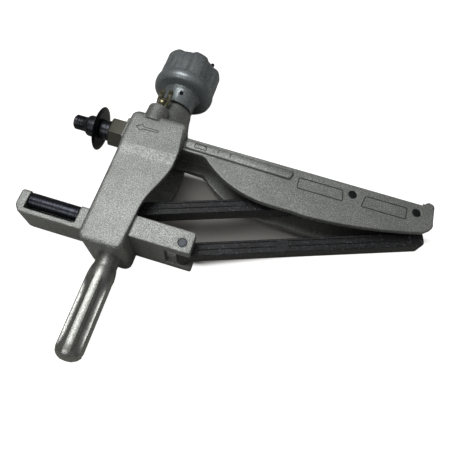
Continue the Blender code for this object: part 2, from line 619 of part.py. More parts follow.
def knob_outline():
    """The knob's lobed outline, in Z and X about the feed screw's axis."""
    points = []
    steps = KNOB_LOBES * 12
    for k in range(steps):
        angle = 2 * math.pi * k / steps
        wave = 0.5 + 0.5 * math.cos(KNOB_LOBES * angle)
        radius = KNOB_RADIUS - 3.0 * (1 - wave**0.6)
        points.append((MID_Z + radius * math.cos(angle), radius * math.sin(angle)))
    return points


def make_knob():
    """The feed knob: a lobed cap with a round lower rim and a hub, cast in one."""
    centre = (0, 0, MID_Z)
    knob = piece("knob", prism(knob_outline(), KNOB_BOTTOM, KNOB_TOP, "Y", rim_radius=1.0, rim_segments=1),
                 "knob_aluminium", (0, HUB_BOTTOM, MID_Z))
    rim = [(KNOB_BOTTOM - 5.0, 24.0), (KNOB_BOTTOM, 27.0), (KNOB_BOTTOM + 2.5, 31.0), (KNOB_BOTTOM + 6.0, 33.6),
           (KNOB_BOTTOM + 10.0, 35.0), (KNOB_TOP - 5.0, 35.0), (KNOB_TOP - 2.0, 33.4), (KNOB_TOP, 30.0), (KNOB_TOP + 4.0, 26.0)]
    combine(knob, "knob_turned_form", turned(rim, centre, "Y", 64), "INTERSECT")
    hub = [(HUB_BOTTOM, HUB_RADIUS - 0.8), (HUB_BOTTOM + 0.8, HUB_RADIUS), (KNOB_BOTTOM - 3.0, HUB_RADIUS + 0.4),
           (KNOB_BOTTOM, HUB_RADIUS + 2.4), (KNOB_BOTTOM + 4.0, HUB_RADIUS + 2.4)]
    add(knob, "hub_form", turned(hub, centre, "Y", FINE_FACETS))
    cut(knob, "knob_bore", cylinder(centre, "Y", HUB_BOTTOM - 5.0, KNOB_TOP - 8.0, SCREW_RADIUS + GAP))
    cut(knob, "knob_dish", turned([(KNOB_TOP - 4.0, 20.0), (KNOB_TOP + 4.0, 24.0)], centre, "Y", FINE_FACETS))
    cut(knob, "hub_pin_hole", cylinder((3.4, HUB_PIN_Y, 0), "Z", MID_Z - 30.0, MID_Z + 30.0, HUB_PIN_RADIUS + GAP, 20))
    cut(knob, "peg_hole", cylinder((PEG_PLACE[0], 0, MID_Z + PEG_PLACE[1]), "Y", KNOB_TOP - 10.0, KNOB_TOP + 5.0,
                                   PEG_RADIUS + GAP, 20))


HUB_PIN_Y = 174.3
HUB_PIN_RADIUS = 2.5
PEG_PLACE = (23.0, 12.0)
PEG_RADIUS = 2.2


def make_feed_screw():
    """The feed screw: a plain journal and thrust collar in the boss, and a long thread below."""
    centre = (0, 0, MID_Z)
    profile = [(SCREW_BOTTOM, SCREW_RADIUS - 1.5), (SCREW_BOTTOM + 1.5, SCREW_RADIUS), (THRUST_COLLAR[0], SCREW_RADIUS),
               (THRUST_COLLAR[0], 11.0), (THRUST_COLLAR[1], 11.0), (THRUST_COLLAR[1], SCREW_RADIUS),
               (KNOB_TOP - 9.0, SCREW_RADIUS)]
    screw = piece("feed_screw", turned(profile, centre, "Y"), "bright_steel", (0, HUB_BOTTOM, MID_Z))
    cut(screw, "screw_pin_hole", cylinder((3.4, HUB_PIN_Y, 0), "Z", MID_Z - 20.0, MID_Z + 20.0, HUB_PIN_RADIUS + GAP, 20))
    low, high = around_mid(HUB_RADIUS - 1.6)
    piece("hub_pin", cylinder((3.4, HUB_PIN_Y, 0), "Z", low, high, HUB_PIN_RADIUS, 20), "black_steel",
          (0, HUB_BOTTOM, MID_Z))
    peg = [(KNOB_TOP - 9.5, PEG_RADIUS), (KNOB_TOP + 2.0, PEG_RADIUS), (KNOB_TOP + 2.6, PEG_RADIUS - 0.6)]
    piece("knob_peg", turned(peg, (PEG_PLACE[0], 0, MID_Z + PEG_PLACE[1]), "Y", 20), "black_steel",
          (0, HUB_BOTTOM, MID_Z))


THRUST_COLLAR = (153.0, 155.8)


def make_screw_bearings():
    """The two bronze rings in the boss that hold the screw's collar between them."""
    centre = (0, 0, MID_Z)
    outer = BOSS_BORE_RADIUS - GAP
    lower = [(NUT_TOP + 1.0, outer), (THRUST_COLLAR[0] - GAP, outer)]
    piece("bearing_bush", turned(lower, centre, "Y", FACETS, bore=SCREW_RADIUS + GAP), "bronze")
    upper = [(THRUST_COLLAR[1] + GAP, outer), (BOSS_TOP - 0.4, outer)]
    piece("thrust_ring", turned(upper, centre, "Y", FACETS, bore=SCREW_RADIUS + GAP), "bronze")


def make_wing_bolt():
    """The wing bolt that locks the arm: shank, dome and two upright wings."""
    centre = (WING_BOSS[0], 0, MID_Z + WING_BOSS[1])
    top = WING_BOSS_TOP
    head = [(WING_SHANK_END, 2.8), (WING_SHANK_END + 1.2, WING_SHANK_RADIUS), (top + 0.4, WING_SHANK_RADIUS), (top + 0.4, 6.2),
            (top + 1.6, 6.2), (top + 2.2, 5.0), (top + 7.0, 4.6), (top + 9.0, 5.2), (top + 12.0, 5.0), (top + 14.4, 3.4),
            (top + 15.6, 0.0)]
    bolt = piece("wing_bolt", turned(head, centre, "Y", 24), "yellow_zinc", (WING_BOSS[0], top, MID_Z + WING_BOSS[1]))
    wing = rounded([(2.0, top + 3.6, 0), (5.6, top + 3.6, 1.5), (7.2, top + 14.0, 4.0), (7.2, top + 27.0, 2.6),
                    (2.6, top + 28.0, 2.0), (2.8, top + 12.0, 0)], steps=5)
    for side, name in ((1, "wing_right_form"), (-1, "wing_left_form")):
        outline = [(side * x, y) for x, y in wing]
        blade = prism(outline, -1.6, 1.6, rim_radius=0.6, rim_segments=1)
        blade.transform(Matrix.Translation((centre[0], 0, centre[2])) @ Matrix.Rotation(math.radians(WING_TURN), 4, "Y"))
        add(bolt, name, blade)


def make_handle():
    """The handle: a tapered neck, a long grip with pressed flutes, and a domed end."""
    centre = (HANDLE_X, 0, MID_Z)
    end = HANDLE_END
    radius = HANDLE_RADIUS
    profile = [(end, 0.0), (end + 0.6, 5.5), (end + 3.0, 10.0), (end + 7.0, radius - 0.6), (end + 12.0, radius),
               (-40.0, radius), (-34.0, radius - 0.9), (-29.5, 10.6), (BODY_BOTTOM - GAP, 10.0),
               (BODY_BOTTOM - GAP, HANDLE_SPIGOT_RADIUS), (-14.0, HANDLE_SPIGOT_RADIUS), (-13.4, HANDLE_SPIGOT_RADIUS - 0.6)]
    handle = piece("handle", turned(profile, centre, "Y", FINE_FACETS), "cast_aluminium")
    flutes = []
    for k in range(FLUTES):
        angle = 2 * math.pi * (k + 0.5) / FLUTES
        depth = radius + 1.9
        place = (HANDLE_X + depth * math.cos(angle), 0, MID_Z + depth * math.sin(angle))
        groove = [(end + 14.0, 0.0), (end + 15.5, 1.8), (end + 19.0, 3.2), (-53.0, 3.2), (-49.5, 1.8), (-48.0, 0.0)]
        flutes.append(turned(groove, place, "Y", 16))
    cut(handle, "handle_flutes", joined(*flutes))


FLUTES = 10


def build():
    """Makes every sub-part of the tool."""
    clear_scene()
    make_body_casting()
    make_handle()
    make_bracket()
    make_set_screws()
    make_rollers()
    heading = math.degrees(math.atan2(ARM_REACH[1], ARM_REACH[0]) - math.asin(CRANK_OFFSET / math.hypot(*ARM_REACH)))
    make_link("link_front", PIVOT_2, heading)
    make_link("link_rear", arm_pin_places()[0], heading + 180.0)
    make_arm()
    make_pivot_pins()
    make_cutter_spindle()
    make_sleeve_nut()
    make_screw_bearings()
    make_feed_screw()
    make_knob()
    make_wing_bolt()


build()
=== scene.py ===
"""Looks of the internal pipe cutter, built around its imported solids: finishes, relief, light and camera."""

import logging
import math
from dataclasses import dataclass, field
from enum import Enum

import bmesh
import bpy
from mathutils import Euler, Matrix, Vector


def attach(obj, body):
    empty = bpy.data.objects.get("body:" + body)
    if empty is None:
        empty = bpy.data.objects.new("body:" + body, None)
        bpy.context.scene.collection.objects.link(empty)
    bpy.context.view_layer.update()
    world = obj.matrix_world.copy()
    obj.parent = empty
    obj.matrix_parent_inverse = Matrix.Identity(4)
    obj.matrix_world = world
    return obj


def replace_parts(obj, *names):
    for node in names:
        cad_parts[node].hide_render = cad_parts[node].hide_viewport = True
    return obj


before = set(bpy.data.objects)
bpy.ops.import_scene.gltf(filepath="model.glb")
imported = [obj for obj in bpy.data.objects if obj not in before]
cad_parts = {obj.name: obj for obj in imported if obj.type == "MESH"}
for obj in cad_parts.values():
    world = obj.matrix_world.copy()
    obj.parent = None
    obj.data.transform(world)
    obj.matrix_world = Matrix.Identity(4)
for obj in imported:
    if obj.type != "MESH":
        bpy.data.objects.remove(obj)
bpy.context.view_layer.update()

log = logging.getLogger("pipe_cutter")
MM = 0.001

Tree = bpy.types.NodeTree
Node = bpy.types.Node
Socket = bpy.types.NodeSocket
Piece = bpy.types.Object
Colour = tuple[float, float, float, float]
Place = tuple[float, float, float]
Flat = tuple[float, float]


class Body(Enum):
    """The moving bodies that new pieces ride on."""

    FRAME = "frame_body"
    ARM = "arm"
    KNOB = "feed_knob"
    LOWER_ROLLER = "lower_roller"
    UPPER_ROLLER = "upper_roller"


class Axis(Enum):
    """The line that a turned piece goes round."""

    X = (1.0, 0.0, 0.0)
    Y = (0.0, 1.0, 0.0)
    Z = (0.0, 0.0, 1.0)


class Grain(Enum):
    """How coarse a casting's skin is."""

    SAND = 0.9
    FINE = 0.8
    HEAVY = 2.2


def srgb(code: str) -> Colour:
    """Turns an sRGB hex value into a linear colour.

    Args:
        code: six hex digits, with or without a leading hash.

    Returns:
        Red, green, blue and alpha.
    """
    text = code.lstrip("#")
    parts = [int(text[k : k + 2], 16) / 255 for k in (0, 2, 4)]
    linear = [p / 12.92 if p <= 0.04045 else ((p + 0.055) / 1.055) ** 2.4 for p in parts]
    return (linear[0], linear[1], linear[2], 1.0)


def add_node(tree: Tree, kind: str, settings: dict | None = None, links: dict | None = None) -> Node:
    """Adds a node with its settings and incoming links.

    Args:
        tree: the node tree.
        kind: the node's type.
        settings: attribute or socket names with their values.
        links: socket names or numbers with the output sockets that feed them.

    Returns:
        The new node.
    """
    node = tree.nodes.new(kind)
    for name, value in (settings or {}).items():
        if isinstance(name, str) and hasattr(node, name):
            setattr(node, name, value)
        else:
            node.inputs[name].default_value = value
    for socket, source in (links or {}).items():
        tree.links.new(source, node.inputs[socket])
    return node


def ramp(tree: Tree, source: Socket, stops: list[tuple[float, tuple]]) -> Socket:
    """Maps a value through a colour ramp.

    Args:
        tree: the node tree.
        source: the value to map.
        stops: positions with their colours.

    Returns:
        The ramp's colour output.
    """
    node = add_node(tree, "ShaderNodeValToRGB", links={"Fac": source})
    elements = node.color_ramp.elements
    while len(elements) < len(stops):
        elements.new(0.5)
    for element, (place, colour) in zip(elements, stops):
        element.position = place
        element.color = colour
    return node.outputs["Color"]


def grey(value: float) -> Colour:
    """A grey ramp stop."""
    return (value, value, value, 1.0)


@dataclass(frozen=True)
class Finish:
    """What every finish shares: a name, base colour, edge wear, and the shader's plain values."""

    name: str
    base: str
    worn: str
    metallic: float
    roughness: float
    edge_mm: float = 0.8

    def material(self) -> bpy.types.Material:
        """Makes the finish's material, once.

        Returns:
            The material.
        """
        if self.name in bpy.data.materials:
            return bpy.data.materials[self.name]
        made = bpy.data.materials.new(self.name)
        made.use_nodes = True
        made.diffuse_color = srgb(self.base)
        tree = made.node_tree
        shader = tree.nodes["Principled BSDF"]
        shader.inputs["Metallic"].default_value = self.metallic
        shader.inputs["Roughness"].default_value = self.roughness
        self.paint(tree, shader)
        return made

    def paint(self, tree: Tree, shader: Node) -> None:
        """Adds the finish's own pattern."""
        raise NotImplementedError

    def place(self, tree: Tree, stretch: Place = (1.0, 1.0, 1.0)) -> Socket:
        """Object coordinates, drawn out along the axes.

        Args:
            tree: the node tree.
            stretch: scale along X, Y and Z.

        Returns:
            The coordinates.
        """
        bare = add_node(tree, "ShaderNodeTexCoord").outputs["Object"]
        return add_node(tree, "ShaderNodeMapping", {"Scale": stretch}, {"Vector": bare}).outputs["Vector"]

    def noise(self, tree: Tree, where: Socket, size_mm: float, detail: float = 2.0) -> Socket:
        """Noise whose features are about size_mm across.

        Args:
            tree: the node tree.
            where: coordinates in metres.
            size_mm: feature size.
            detail: octaves.

        Returns:
            The noise value.
        """
        settings = {"Scale": 1 / (size_mm * MM), "Detail": detail, "Roughness": 0.6}
        return add_node(tree, "ShaderNodeTexNoise", settings, {"Vector": where}).outputs["Fac"]

    def edge(self, tree: Tree) -> tuple[Socket, Socket]:
        """Finds the edges that handling rubs.

        Args:
            tree: the node tree.

        Returns:
            The softened normal, and a mask that is 1 on an edge.
        """
        soft = add_node(tree, "ShaderNodeBevel", {"samples": 4, "Radius": self.edge_mm * MM})
        flat = add_node(tree, "ShaderNodeNewGeometry")
        normals = {0: soft.outputs["Normal"], 1: flat.outputs["Normal"]}
        likeness = add_node(tree, "ShaderNodeVectorMath", {"operation": "DOT_PRODUCT"}, normals)
        mask = self.remap(tree, likeness.outputs["Value"], (0.99, 0.86), (0.0, 1.0))
        return soft.outputs["Normal"], mask

    def remap(self, tree: Tree, value: Socket, old: Flat, new: Flat) -> Socket:
        """Moves a value from one range to another.

        Args:
            tree: the node tree.
            value: the value.
            old: the range it has.
            new: the range it gets.

        Returns:
            The moved value.
        """
        ranges = {"From Min": old[0], "From Max": old[1], "To Min": new[0], "To Max": new[1]}
        return add_node(tree, "ShaderNodeMapRange", ranges, {"Value": value}).outputs["Result"]

    def rub(self, tree: Tree, shader: Node, colour: Socket, share: float) -> Socket:
        """Lets the worn colour through on the edges and gives the shader its colour.

        Args:
            tree: the node tree.
            shader: the Principled shader.
            colour: the colour before wear.
            share: how much of the worn colour an edge shows.

        Returns:
            The softened normal.
        """
        normal, edge = self.edge(tree)
        bare = ramp(tree, edge, [(0.0, grey(0.0)), (1.0, grey(share))])
        tree.links.new(self.mix(tree, bare, colour, srgb(self.worn)), shader.inputs["Base Color"])
        return normal

    def mix(self, tree: Tree, share: Socket, first: object, second: object) -> Socket:
        """Mixes two colours, each a socket or a fixed colour.

        Args:
            tree: the node tree.
            share: how much of the second shows.
            first: colour at 0.
            second: colour at 1.

        Returns:
            The mixed colour.
        """
        node = add_node(tree, "ShaderNodeMix", {"data_type": "RGBA"}, {0: share})
        for socket, value in ((6, first), (7, second)):
            if isinstance(value, Socket):
                tree.links.new(value, node.inputs[socket])
            else:
                node.inputs[socket].default_value = value
        return node.outputs[2]

    def bump(self, tree: Tree, shader: Node, height: Socket, depth_mm: float, normal: Socket) -> None:
        """Raises the surface by a height pattern.

        Args:
            tree: the node tree.
            shader: the Principled shader.
            height: the pattern.
            depth_mm: height from its lowest to its highest.
            normal: the normal to start from.
        """
        settings = {"Strength": 1.0, "Distance": depth_mm * MM}
        node = add_node(tree, "ShaderNodeBump", settings, {"Height": height, "Normal": normal})
        tree.links.new(node.outputs["Normal"], shader.inputs["Normal"])


@dataclass(frozen=True)
class CastAluminium(Finish):
    """Cast aluminium, shot-blasted: a sparkling grain of bright and dull specks, polished on its edges."""

    dark: str = "666864"
    speck: str = "bcbebb"
    grain: Grain = Grain.SAND
    depth_mm: float = 0.22

    def paint(self, tree: Tree, shader: Node) -> None:
        """Adds grain, specks, dull patches and rubbed edges.

        Args:
            tree: the material's node tree.
            shader: its Principled shader.
        """
        where = self.place(tree)
        # The real grit is about 0.3 mm; it is drawn coarser so that it shows at this distance
        grain = self.noise(tree, where, self.grain.value, 3.0)
        body = ramp(tree, grain, [(0.32, srgb(self.dark)), (0.50, srgb(self.base)), (0.68, srgb(self.speck))])
        scale = 1 / (self.grain.value * 0.7 * MM)
        cells = add_node(tree, "ShaderNodeTexVoronoi", {"Scale": scale}, {"Vector": where})
        value = add_node(tree, "ShaderNodeSeparateColor", links={0: cells.outputs["Color"]})
        spark = ramp(tree, value.outputs[0], [(0.86, grey(0.0)), (0.93, grey(0.55))])
        flecked = self.mix(tree, spark, body, srgb(self.speck))
        patches = self.noise(tree, where, 38.0, 2.0)
        dull = ramp(tree, patches, [(0.42, grey(0.0)), (0.66, grey(0.35))])
        toned = self.mix(tree, dull, flecked, srgb(self.dark))
        normal = self.rub(tree, shader, toned, 0.30)
        spread = self.remap(tree, grain, (0.3, 0.7), (self.roughness + 0.10, self.roughness - 0.08))
        tree.links.new(spread, shader.inputs["Roughness"])
        self.bump(tree, shader, grain, self.depth_mm, normal)


@dataclass(frozen=True)
class BlackCasting(Finish):
    """Rough iron casting under thick black paint: lumps whose crests carry a painted highlight, grey where
    the paint is rubbed.
    """

    crest_highlight: str = "7c8084"
    lump_mm: float = 1.8
    depth_mm: float = 0.95

    def paint(self, tree: Tree, shader: Node) -> None:
        """Adds lumps with painted highlights on their crests, a dusty bloom and rubbed edges.

        Args:
            tree: the material's node tree.
            shader: its Principled shader.
        """
        where = self.place(tree)
        lumps = self.noise(tree, where, self.lump_mm, 3.0)
        dust = self.noise(tree, where, 30.0, 3.0)
        bloom = ramp(tree, dust, [(0.45, grey(0.0)), (0.75, grey(0.30))])
        body = self.mix(tree, bloom, srgb(self.base), srgb(self.worn))
        # The crests are coloured lighter by their height: a painted highlight
        painted_crest_highlights = ramp(tree, lumps, [(0.58, grey(0.0)), (0.70, grey(0.55))])
        lit = self.mix(tree, painted_crest_highlights, body, srgb(self.crest_highlight))
        normal = self.rub(tree, shader, lit, 0.35)
        self.bump(tree, shader, lumps, self.depth_mm, normal)


@dataclass(frozen=True)
class TurnedSteel(Finish):
    """Metal turned on a lathe, blackened or left bright: fine rings round its axis, smears of oil."""

    axis: str = "X"
    ring_mm: float = 0.8
    depth_mm: float = 0.02

    def paint(self, tree: Tree, shader: Node) -> None:
        """Adds turning rings, smears and bright edges.

        Args:
            tree: the material's node tree.
            shader: its Principled shader.
        """
        draw_out = {"X": (1.0, 0.06, 0.06), "Y": (0.06, 1.0, 0.06), "Z": (0.06, 0.06, 1.0)}[self.axis]
        rings = self.noise(tree, self.place(tree, draw_out), self.ring_mm, 1.0)
        smear = self.noise(tree, self.place(tree), 9.0, 3.0)
        shade = ramp(tree, rings, [(0.30, grey(0.0)), (0.75, grey(0.25))])
        body = self.mix(tree, shade, srgb(self.base), srgb(self.worn))
        normal = self.rub(tree, shader, body, 0.5)
        spread = self.remap(tree, smear, (0.3, 0.7), (self.roughness - 0.06, self.roughness + 0.10))
        tree.links.new(spread, shader.inputs["Roughness"])
        self.bump(tree, shader, rings, self.depth_mm, normal)


@dataclass(frozen=True)
class YellowZinc(Finish):
    """Zinc plate with a yellow chromate: straw to olive, changing softly over the part."""

    olive: str = "4c4c36"

    def paint(self, tree: Tree, shader: Node) -> None:
        """Adds the chromate's drift of colour and small handling marks.

        Args:
            tree: the material's node tree.
            shader: its Principled shader.
        """
        where = self.place(tree)
        drift = self.noise(tree, where, 6.0, 2.0)
        marks = self.noise(tree, where, 1.2, 3.0)
        body = ramp(tree, drift, [(0.30, srgb(self.olive)), (0.50, srgb(self.base)), (0.72, srgb(self.worn))])
        normal = self.rub(tree, shader, body, 0.5)
        self.bump(tree, shader, marks, 0.05, normal)


@dataclass(frozen=True)
class BlastedSteel(Finish):
    """Steel dulled by bead blasting, with faint staining."""

    stain: str = "55534a"

    def paint(self, tree: Tree, shader: Node) -> None:
        """Adds the blasted skin and stains.

        Args:
            tree: the material's node tree.
            shader: its Principled shader.
        """
        where = self.place(tree)
        skin = self.noise(tree, where, 0.9, 2.0)
        stains = self.noise(tree, where, 8.0, 3.0)
        body = ramp(tree, stains, [(0.35, srgb(self.stain)), (0.60, srgb(self.base))])
        normal = self.rub(tree, shader, body, 0.6)
        self.bump(tree, shader, skin, 0.06, normal)


# The big castings: a mid grey that sparkles in fine specks and turns lighter along its edges
ALUMINIUM = CastAluminium("sand_cast_aluminium_blasted", "838582", "9c9d99", 0.76, 0.49, edge_mm=2.0)
# The grip: smoother and brighter than the castings, with long soft reflections
GRIP_ALUMINIUM = CastAluminium(
    "die_cast_aluminium_satin", "8f908c", "d0d1cd", 0.88, 0.33,
    dark="6e6f6b", speck="b4b5b1", grain=Grain.FINE, depth_mm=0.10,
)
# The knob: blue-grey, slightly glossy, with a hammered skin
KNOB_ENAMEL = CastAluminium(
    "die_cast_aluminium_enamelled_grey", "7a8082", "a6acae", 0.55, 0.35,
    dark="6a6f71", speck="8c9294", grain=Grain.HEAVY, depth_mm=0.12,
)
# Painted shade along cast ridges, drawn as a dull dark line; the scale's dark marks use it too
RELIEF_SHADE_AND_MARK_DARK = BlastedSteel("painted_relief_shade_and_scale_marks", "43433f", "6c6c68", 0.2, 0.65, stain="33332f")
# The links: near black, with small grey flecks on the lumps' crests as a painted highlight
BLACK_IRON = BlackCasting("iron_casting_black_paint", "08090c", "24282c", 0.10, 0.42)
# The spindle and the screws: black with an oily shine
BLACK_OXIDE = TurnedSteel("turned_steel_black_oxide", "1f2125", "5c6066", 0.75, 0.28)
# The rollers: black with one sharp streak of light along them
ROLLER_STEEL = TurnedSteel("ground_steel_black_oxide", "24262c", "585b64", 0.80, 0.24, ring_mm=1.4)
# The bracket's pins: dark blue-grey discs in the lighter casting
PIN_STEEL = TurnedSteel("ground_steel_dark", "393d41", "6c7176", 0.80, 0.42, axis="Z")
# The arm's pins: black discs
PIN_BLACK = TurnedSteel("forged_steel_black_oxide", "0f1012", "36393d", 0.60, 0.40, axis="Z")
# The feed screw and the roller axles: bright, with rings
SCREW_STEEL = TurnedSteel("turned_steel_bright", "b4b4b2", "dededc", 0.95, 0.24, axis="Y", ring_mm=1.0)
# The nut and the bearing rings: warm yellow-brown, seen only from the sides
BRONZE = TurnedSteel("turned_bearing_bronze", "b08a4e", "dcc08a", 0.95, 0.32, axis="Y")
# The hexagon: a dull brownish grey without sparkle
HOUSING_STEEL = BlastedSteel("bead_blasted_steel", "55544c", "85847a", 0.70, 0.44)
# The wing bolt: straw to olive, with small bright highlights
ZINC = YellowZinc("yellow_chromate_zinc_plate", "77745a", "dcdac8", 0.95, 0.20)

NODE_FINISHES: dict[str, Finish] = {
    "body_casting": ALUMINIUM,
    "bracket": ALUMINIUM,
    "cutter_arm": ALUMINIUM,
    "handle": GRIP_ALUMINIUM,
    "knob": KNOB_ENAMEL,
    "link_front": BLACK_IRON,
    "link_rear": BLACK_IRON,
    "bracket_screw_1": BLACK_OXIDE,
    "bracket_screw_2": BLACK_OXIDE,
    "roller_lower": BLACK_OXIDE,
    "roller_upper": BLACK_OXIDE,
    "roller_axle_lower": SCREW_STEEL,
    "roller_axle_upper": SCREW_STEEL,
    "pivot_pin_rear": PIN_STEEL,
    "pivot_pin_front": PIN_STEEL,
    "arm_pin_rear": PIN_BLACK,
    "arm_pin_front": PIN_BLACK,
    "spindle_housing": HOUSING_STEEL,
    "cutter_axle": BLACK_OXIDE,
    "wheel_sleeve": BLACK_OXIDE,
    "cutter_wheel": BLACK_OXIDE,
    "axle_collar": BLACK_OXIDE,
    "sleeve_nut": BRONZE,
    "bearing_bush": BRONZE,
    "thrust_ring": BRONZE,
    "feed_screw": SCREW_STEEL,
    "hub_pin": BLACK_OXIDE,
    "knob_peg": BLACK_OXIDE,
    "wing_bolt": ZINC,
}

# Boxes in millimetres, each with the shift of the points in it: the body's chin reaches lower
BODY_MOVES: list[tuple[Place, Place, Place]] = [((-60.0, -60.0, -1.0), (60.0, -10.5, 80.0), (0.0, -3.2, 0.0))]
# The cradle's front stands out, and its wall beside the body is thinner
BRACKET_MOVES: list[tuple[Place, Place, Place]] = [
    ((-120.0, -20.0, 0.0), (-33.0, -12.0, 80.0), (0.0, -1.4, 0.0)),
    ((-47.6, -30.0, 0.0), (-46.0, 30.0, 80.0), (2.6, 0.0, 0.0)),
]
# The arm's left end is shorter and its keel a little deeper
ARM_MOVES: list[tuple[Place, Place, Place]] = [
    ((-60.0, 80.0, 0.0), (-40.0, 130.0, 80.0), (5.5, 0.0, 0.0)),
    ((165.0, 60.0, 0.0), (292.0, 92.0, 80.0), (0.0, -1.6, 0.0)),
]
# The keel's edge on the arm's top cheek, with the width of its rounding
ARM_ROUNDS: list[tuple[Place, Place, float]] = [((38.0, 60.0, 59.0), (292.0, 100.0, 60.0), 2.8)]


def deselect() -> None:
    """Leaves edit mode and selects nothing."""
    if bpy.context.object and bpy.context.object.mode != "OBJECT":
        bpy.ops.object.mode_set(mode="OBJECT")
    bpy.ops.object.select_all(action="DESELECT")


def settle(piece: Piece, name: str, body: Body, finish: Finish, smooth_deg: float = 35.0) -> Piece:
    """Finishes a new piece: place in its mesh, normals out, material, and the body it rides on.

    Args:
        piece: the object.
        name: its name.
        body: the body that carries it.
        finish: its finish.
        smooth_deg: edges sharper than this stay sharp.

    Returns:
        The piece.
    """
    deselect()
    piece.select_set(True)
    bpy.context.view_layer.objects.active = piece
    for modifier in list(piece.modifiers):
        bpy.ops.object.modifier_apply(modifier=modifier.name)
    bpy.ops.object.transform_apply(location=True, rotation=True, scale=True)
    bpy.ops.object.mode_set(mode="EDIT")
    bpy.ops.mesh.select_all(action="SELECT")
    bpy.ops.mesh.normals_make_consistent(inside=False)
    bpy.ops.object.mode_set(mode="OBJECT")
    bpy.ops.object.shade_smooth_by_angle(angle=math.radians(smooth_deg))
    piece.name = name
    piece.data.name = name
    piece.data.materials.clear()
    piece.data.materials.append(finish.material())
    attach(piece, body.value)
    log.info("%s on %s, %d faces, %s", name, body.value, len(piece.data.polygons), finish.name)
    return piece


@dataclass
class Turning:
    """A round solid, drawn out of a disc from station to station as on a lathe."""

    name: str
    body: Body
    finish: Finish
    centre_mm: Place
    axis: Axis
    profile: list[Flat]
    sides: int = 96

    def point(self, along_mm: float) -> Vector:
        """The point on the axis at a distance along it."""
        return (Vector(self.centre_mm) + Vector(self.axis.value) * along_mm) * MM

    def draw(self) -> Piece:
        """Draws the solid and stays in edit mode.

        Returns:
            The piece.
        """
        deselect()
        along, radius = self.profile[0]
        turn = Vector((0, 0, 1)).rotation_difference(Vector(self.axis.value)).to_euler()
        bpy.ops.mesh.primitive_circle_add(
            vertices=self.sides,
            radius=radius * MM,
            fill_type="NGON",
            location=self.point(along),
            rotation=turn,
        )
        piece = bpy.context.object
        bpy.ops.object.transform_apply(location=True, rotation=True, scale=True)
        bpy.ops.object.mode_set(mode="EDIT")
        bpy.ops.mesh.select_mode(type="VERT")
        bpy.ops.mesh.select_all(action="SELECT")
        for (here, before), (there, after) in zip(self.profile, self.profile[1:]):
            step = Vector(self.axis.value) * (there - here) * MM
            bpy.ops.mesh.extrude_region_move(TRANSFORM_OT_translate={"value": step})
            bpy.ops.transform.resize(value=(after / before,) * 3, center_override=self.point(there))
        return piece

    def pinch(
        self, piece: Piece, along_mm: float, pitch: int, phase: int, turn: int, factor: float, reach_mm: float
    ) -> None:
        """Draws the points at one station of a piece turned round Y in towards the axis.

        Args:
            piece: the piece, in edit mode.
            along_mm: the station.
            pitch: degrees from one groove's middle to the next.
            phase: degrees to the first groove's middle.
            turn: degrees from a groove's middle to the points.
            factor: how far in they go, as a share of their radius.
            reach_mm: points nearer to the axis than this stay.
        """
        mesh = bmesh.from_edit_mesh(piece.data)
        for vertex in mesh.verts:
            away = vertex.co / MM - Vector(self.centre_mm)
            angle = (round(math.degrees(math.atan2(away.z, away.x))) - phase) % pitch
            near = min(angle, pitch - angle) == turn
            vertex.select = near and abs(away.y - along_mm) < 0.05 and math.hypot(away.x, away.z) > reach_mm
        mesh.select_flush_mode()
        bmesh.update_edit_mesh(piece.data)
        bpy.ops.transform.resize(value=(factor, 1.0, factor), center_override=self.point(along_mm))

    def build(self) -> Piece:
        """Draws and finishes the piece."""
        return settle(self.draw(), self.name, self.body, self.finish)


